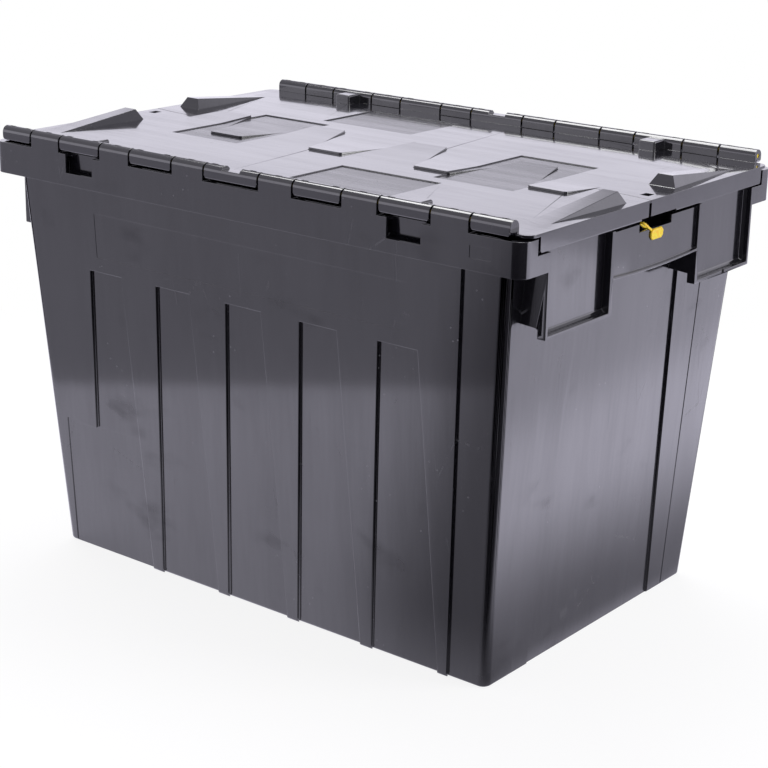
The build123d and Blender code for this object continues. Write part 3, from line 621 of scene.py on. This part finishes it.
def make_rod(node, material):
    """A hinge rod: a circle carried along the hinge axis, drawn in at both ends by a quarter round.

    Its line bows by a fraction of the play in the knuckles, as a cosine of the place along it."""
    low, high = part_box(node)
    radius = (high.z - low.z) / 2
    ease = np.linspace(0, math.pi / 2, ROD_END_STEPS)
    inset = ROD_END_RADIUS * (1 - np.sin(ease))
    drawn_in = ROD_END_RADIUS * (1 - np.cos(ease))
    middle = np.linspace(low.x + ROD_END_RADIUS, high.x - ROD_END_RADIUS, ROD_STEPS)
    along = np.concatenate((low.x + drawn_in, middle[1:-1], high.x - drawn_in[::-1]))
    reach = np.concatenate((radius - inset, np.full(ROD_STEPS - 2, radius), radius - inset[::-1]))
    turn = np.linspace(0, 2 * math.pi, ROD_SIDES, endpoint=False)
    sag = ROD_BOW * np.cos(along / ROD_BOW_LENGTH * math.pi)
    rings = np.empty((len(along), ROD_SIDES, 3))
    rings[..., 0] = along[:, None]
    rings[..., 1] = (low.y + high.y) / 2 + (reach[:, None] - ROD_BOW) * np.cos(turn)
    rings[..., 2] = (low.z + high.z) / 2 + (reach[:, None] - ROD_BOW) * np.sin(turn) + sag[:, None]
    return skin_object(node + "_rod", rings, False, material)


def make_tag(low, high, material):
    """The seal's tag: an octagon carried outwards in layers, each drawn in so that its rim is rounded."""
    half = np.array((high.y - low.y, high.z - low.z)) / 2
    middle = np.array((low.y + high.y, low.z + high.z)) / 2
    wide, tall = half
    cut = TAG_CORNER
    corners = np.array([(wide - cut, -tall), (wide, cut - tall), (wide, tall - cut), (wide - cut, tall),
                        (cut - wide, tall), (-wide, tall - cut), (-wide, cut - tall), (cut - wide, -tall)])
    share = np.linspace(0, 1, TAG_SIDE_STEPS, endpoint=False)[None, :, None]
    start = corners[:, None]
    outline = (start + (np.roll(corners, -1, 0)[:, None] - start) * share).reshape(-1, 2)
    out, inset = TAG_LAYERS.T
    rings = np.empty((len(TAG_LAYERS), len(outline), 3))
    rings[..., 0] = (low.x + out * (high.x - low.x))[:, None]
    rings[..., 1:] = outline * (1 - inset[:, None, None] / half) + middle
    return skin_object("security_seal_tag", rings, False, material)


def make_strap(low, high, tag_high, material):
    """The seal's strap: a band carried round a loop, each side of which is cut a quarter from both its ends.

    Its section is a superellipse: cosine and sine, each raised to a power, its sign kept."""
    thick, wide = STRAP
    inner = low.x + thick / 2
    outer = tag_high.x - thick
    foot = tag_high.z - wide / 4
    crest = high.z - wide / 2
    end, bend, top = low.y + STRAP_END, low.y + STRAP_BEND, low.y + thick
    outer_end, inner_end = foot + STRAP_ENDS[0], foot + STRAP_ENDS[1]
    loop = np.array([(outer, end, outer_end), (outer, bend, foot + STRAP_RISE), (outer, top, crest),
                     (inner, top, crest), (inner, bend, foot + STRAP_RISE), (inner, end, inner_end)])
    for _ in range(STRAP_HALVINGS):
        after = np.roll(loop, -1, 0)
        loop = np.stack((loop * 0.75 + after * 0.25, loop * 0.25 + after * 0.75), 1).reshape(-1, 3)
    along = np.roll(loop, -1, 0) - np.roll(loop, 1, 0)
    along /= np.linalg.norm(along, axis=1)[:, None]
    upright = np.array((0, 0, 1.0)) - along * along[:, 2:]
    upright /= np.linalg.norm(upright, axis=1)[:, None]
    outward = np.cross(along, upright)
    turn = np.linspace(0, 2 * math.pi, STRAP_SIDES, endpoint=False)
    circle = np.stack((np.cos(turn), np.sin(turn)))
    across, up = np.sign(circle) * np.abs(circle) ** STRAP_POWER * np.array(((thick / 2,), (wide / 2,)))
    rings = loop[:, None] + outward[:, None] * across[None, :, None] + upright[:, None] * up[None, :, None]
    return skin_object("security_seal_strap", rings, True, material)


class MakeTrim(bpy.types.Operator):
    """Make the hinge rods and the security seal"""

    bl_idname = "container.make_trim"
    bl_label = "Hinge rods and seal"

    def execute(self, context):
        settings = context.scene.container_trim
        rod_shade = [c * ROD_SHADE for c in settings.pin_colour]
        rod_plastic = bright_plastic("rod_plastic", settings.pin_colour, rod_shade)
        seal_plastic = bright_plastic("seal_plastic", settings.seal_colour, settings.seal_shade)
        for node in PINS:
            rod = make_rod(node, rod_plastic)
            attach(rod, "container")
            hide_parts(node)
        low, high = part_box("security_seal")
        tag_low = Vector((high.x - TAG_SIZE[0], high.y - TAG_SIZE[1], low.z))
        tag_high = Vector((high.x, high.y, low.z + TAG_SIZE[2]))
        for piece in (make_tag(tag_low, tag_high, seal_plastic),
                      make_strap(low, high, tag_high, seal_plastic)):
            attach(piece, "container")
            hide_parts("security_seal")
        return {"FINISHED"}


def area_lamp(name, place, aim, size, power):
    """A white soft box at a place, facing a point."""
    data = bpy.data.lights.new(name, "AREA")
    data.shape = "RECTANGLE"
    data.size, data.size_y = size
    data.energy = power
    lamp = bpy.data.objects.new(name, data)
    lamp.location = place
    lamp.rotation_euler = (Vector(aim) - Vector(place)).to_track_quat("-Z", "Y").to_euler()
    bpy.context.scene.collection.objects.link(lamp)


def beyond(x, y, line):
    """How far a place on the floor lies beyond a line."""
    return x * line[0] + y * line[1] + line[2]


def painted_gloss_floor_level(finish):
    """Painted reflection: how light the floor is to gloss, as a smooth function of the place on it.

    It is dimmer beyond a line on the left, darkened by a painted dark wedge to the front right, and carries
    the object's painted shadow beside its +X end, with a painted brightening farther out."""
    x, y, _ = finish.axes(finish.places())
    # Painted reflection: dimmer beyond a line on the left
    lit = beyond(x, y, PAINTED_DIM_LINE).step(*PAINTED_DIM_EDGE)
    left = beyond(x, y, PAINTED_WEDGE_LEFT)
    right = beyond(x, y, PAINTED_WEDGE_RIGHT)
    # Painted shade: a dark wedge to the front right, darker in its core
    painted_wedge = left.step(*PAINTED_WEDGE_EDGES[0]) * right.step(*PAINTED_WEDGE_EDGES[1])
    deep = left.step(*PAINTED_WEDGE_DEEP_EDGES[0]) * right.step(*PAINTED_WEDGE_DEEP_EDGES[1])
    # Painted shadow beside the +X end; farther out the level passes 1, a painted brightening
    beside = (x.rise(*SHADE_RISE) + SHADE_LEVEL - x.rise(*SHADE_FALL) + x.rise(*SHADE_SECOND_RISE)
              - y.rise(*SHADE_REAR) * x.step(*SHADE_FALL[0]))
    shade = x.step(*SHADE_START) * (1 - beside)
    dark = painted_wedge * PAINTED_WEDGE_DARK + deep * PAINTED_WEDGE_DEEP_DARK
    return (lit * (1 - PAINTED_DIM_LEVEL) + PAINTED_DIM_LEVEL) * (1 - dark) * (1 - shade)


def floor_finish():
    """Pale floor: white to the camera but for the object's shadow, pale paint to light, painted reflection to
    gloss.
    """
    finish = Finish(bpy.data.materials.new("floor_paint_and_painted_reflection"))
    x, y, _ = finish.axes(finish.places())
    # To gloss the floor glows as a painted reflection: this painted level, tinted, as colour and as glow
    grey = finish.shaded(painted_gloss_floor_level(finish), GLOSS_TINT)
    painted_gloss_floor = finish.between(GLOSS_GLOW, finish.node("BsdfDiffuse", Color=grey),
                                 finish.node("Emission", Color=grey, Strength=1.0))
    plain = finish.node("BsdfDiffuse", Color=FLOOR_PAINT)
    shadow = finish.node("BsdfDiffuse", Color=FLOOR_SHADOW)
    glow = finish.node("Emission", Color=WHITE, Strength=FLOOR_GLOW)
    near = finish.node("AddShader", sockets={0: shadow, 1: glow})
    far = finish.node("Emission", Color=WHITE, Strength=1.0)
    to_camera = finish.between((x * x + y * y).step(*FLOOR_FADE), near, far)
    to_light = finish.between(finish.node("LightPath", output="Is Glossy Ray"), plain, painted_gloss_floor)
    surface = finish.between(finish.node("LightPath", output="Is Camera Ray"), to_light, to_camera)
    finish.node("OutputMaterial", Surface=surface)
    return finish.owner


def make_world():
    """A white room to the camera; to light and gloss a bright band at the horizon below a dimmer ceiling.

    The band stands higher at the rear right, and fades towards the front right, where the room is dark."""
    world = bpy.data.worlds.new("studio")
    bpy.context.scene.world = world
    sky = Finish(world)
    x, y, z = sky.axes(sky.node("TexCoord", output="Generated"))

    def towards(direction, limits):
        return (x * direction[0] + y * direction[1]).step(*limits)

    band = (z - towards(*REAR_RIGHT) * REAR_RIGHT_RAISE).step(*BAND_TOP)
    level = (band * BAND_LEVEL + CEILING_LEVEL) * (1 - towards(*FRONT_RIGHT) * FRONT_RIGHT_DARK)
    room = sky.node("Background", Color=sky.shaded(level, ROOM_TINT), Strength=1.0)
    white = sky.node("Background", Color=WHITE, Strength=1.0)
    sky.node("OutputWorld", Surface=sky.between(sky.node("LightPath", output="Is Camera Ray"), room, white))


def make_camera(settings):
    """The camera at the photograph's place: its axes from azimuth, elevation and roll."""
    az, el, roll = settings.azimuth, settings.elevation, settings.roll
    ahead = Vector((math.sin(az) * math.cos(el), math.cos(az) * math.cos(el), math.sin(el)))
    right = Vector((math.cos(az), -math.sin(az), 0))
    up = right.cross(ahead)
    right_rolled = math.cos(roll) * right + math.sin(roll) * up
    up_rolled = -math.sin(roll) * right + math.cos(roll) * up
    data = bpy.data.cameras.new("camera")
    data.lens = settings.lens
    data.sensor_width = SENSOR_WIDTH
    data.clip_start = NEAREST
    camera = bpy.data.objects.new("camera", data)
    turn = Matrix((right_rolled, up_rolled, -ahead)).transposed().to_4x4()
    camera.matrix_world = Matrix.Translation(settings.camera_place) @ turn
    bpy.context.scene.collection.objects.link(camera)
    bpy.context.scene.camera = camera


class MakeStage(bpy.types.Operator):
    """Make the floor, lamps, world and camera"""

    bl_idname = "container.make_stage"
    bl_label = "Stage"

    def execute(self, context):
        settings = context.scene.container_stage
        mesh = bpy.data.meshes.new("floor")
        x0, x1, y0, y1 = FLOOR_SIDES
        mesh.from_pydata([(x0, y0, 0), (x1, y0, 0), (x1, y1, 0), (x0, y1, 0)], [], [(0, 1, 2, 3)])
        floor = bpy.data.objects.new("floor", mesh)
        mesh.materials.append(floor_finish())
        context.scene.collection.objects.link(floor)
        for lamp in LAMPS:
            area_lamp(*lamp)
        make_world()
        make_camera(settings)
        context.scene.view_settings.view_transform = "Standard"
        return {"FINISHED"}


class ContainerPanel(bpy.types.Panel):
    """Lists the container's sizes, colours and operators"""

    bl_idname = "VIEW3D_PT_container"
    bl_label = "Attached lid container"
    bl_space_type = "VIEW_3D"
    bl_region_type = "UI"
    bl_category = "Container"

    def draw(self, context):
        for group in (context.scene.container_moulding, context.scene.container_trim,
                      context.scene.container_stage):
            box = self.layout.box()
            for name in group.__annotations__:
                box.prop(group, name)
        for operator in OPERATORS:
            self.layout.operator(operator.bl_idname)


GROUPS = {"container_moulding": MouldingSettings, "container_trim": TrimSettings,
          "container_stage": StageSettings}
OPERATORS = (MakeBody, MakeFlaps, MakeTrim, MakeStage)


def register():
    for group in GROUPS.values():
        bpy.utils.register_class(group)
    for operator in (*OPERATORS, ContainerPanel):
        bpy.utils.register_class(operator)
    for name, group in GROUPS.items():
        setattr(bpy.types.Scene, name, bpy.props.PointerProperty(type=group))


def unregister():
    for name in GROUPS:
        delattr(bpy.types.Scene, name)
    for operator in (ContainerPanel, *reversed(OPERATORS)):
        bpy.utils.unregister_class(operator)
    for group in GROUPS.values():
        bpy.utils.unregister_class(group)


def main():
    """Makes every piece and the stage."""
    register()
    bpy.ops.container.make_body()
    bpy.ops.container.make_flaps()
    bpy.ops.container.make_trim()
    bpy.ops.container.make_stage()


if __name__ == "__main__":
    main()
